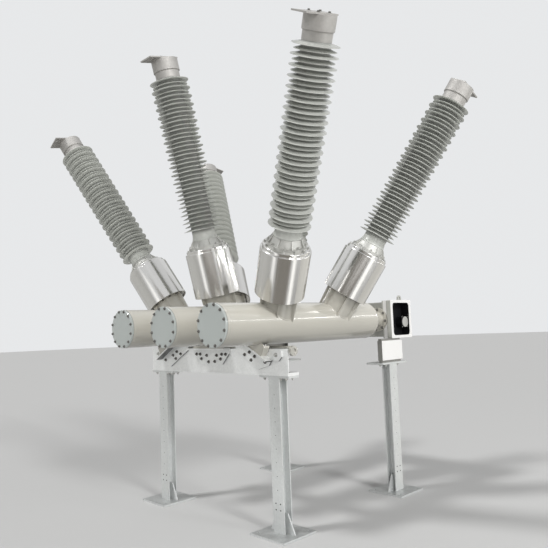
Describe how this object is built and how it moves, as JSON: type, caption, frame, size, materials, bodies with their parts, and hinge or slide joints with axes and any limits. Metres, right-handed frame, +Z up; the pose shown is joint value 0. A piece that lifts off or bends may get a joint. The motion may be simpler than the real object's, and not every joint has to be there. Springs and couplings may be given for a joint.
{
  "type": "gas insulated breaker",
  "caption": "Outdoor dead-tank circuit breaker: grounded gas tanks on a steel stand, each with a spread pair of shed insulator bushings, round current transformers and a common drive beam.",
  "frame": {"origin": "on the floor, midway between the four legs", "axes": "+X along the tanks from the bolted end covers to the drive beam, +Y across the poles from the front pole to the back pole, +Z up"},
  "size_m": [2.5689, 3.7516, 3.9777],
  "materials": {
    "galvanized_steel": "hot-dip galvanized, matte pale grey with a faint spangle",
    "tank_paint": "warm light grey gloss paint",
    "cover_paint": "light bluish grey satin paint",
    "brushed_steel": "bare sheet brushed along the bushing axis",
    "cast_aluminium": "sand-cast, satin",
    "insulator_grey": "light grey silicone, satin",
    "beam_paint": "light grey satin paint",
    "white_paint": "white satin paint",
    "machined_aluminium": "turned, bright",
    "pipe_steel": "stainless pipe, satin"
  },
  "bodies": {
    "root": {"bushing_base_back_left": "cast_aluminium", "bushing_base_back_right": "cast_aluminium", "bushing_base_front_left": "cast_aluminium", "bushing_base_front_right": "cast_aluminium", "bushing_base_middle_left": "cast_aluminium", "bushing_base_middle_right": "cast_aluminium", "cross_beam": "galvanized_steel", "drive_beam": "beam_paint", "drive_brackets": "galvanized_steel", "end_cover_back": "cover_paint", "end_cover_front": "cover_paint", "end_cover_middle": "cover_paint", "end_housings": "white_paint", "gas_line": "pipe_steel", "insulator_back_left": "insulator_grey", "insulator_back_right": "insulator_grey", "insulator_front_left": "insulator_grey", "insulator_front_right": "insulator_grey", "insulator_middle_left": "insulator_grey", "insulator_middle_right": "insulator_grey", "leg_cover_end_back": "galvanized_steel", "leg_cover_end_front": "galvanized_steel", "leg_drive_end_back": "galvanized_steel", "leg_drive_end_front": "galvanized_steel", "saddle_back": "galvanized_steel", "saddle_front": "galvanized_steel", "saddle_middle": "galvanized_steel", "shaft_covers": "machined_aluminium", "tank_back": "tank_paint", "tank_front": "tank_paint", "tank_head_back": "tank_paint", "tank_head_front": "tank_paint", "tank_head_middle": "tank_paint", "tank_middle": "tank_paint", "terminal_back_left": "cast_aluminium", "terminal_back_right": "cast_aluminium", "terminal_front_left": "cast_aluminium", "terminal_front_right": "cast_aluminium", "terminal_middle_left": "cast_aluminium", "terminal_middle_right": "cast_aluminium", "transformer_housing_back_left": "brushed_steel", "transformer_housing_back_right": "brushed_steel", "transformer_housing_front_left": "brushed_steel", "transformer_housing_front_right": "brushed_steel", "transformer_housing_middle_left": "brushed_steel", "transformer_housing_middle_right": "brushed_steel"}
  },
  "joints": []
}
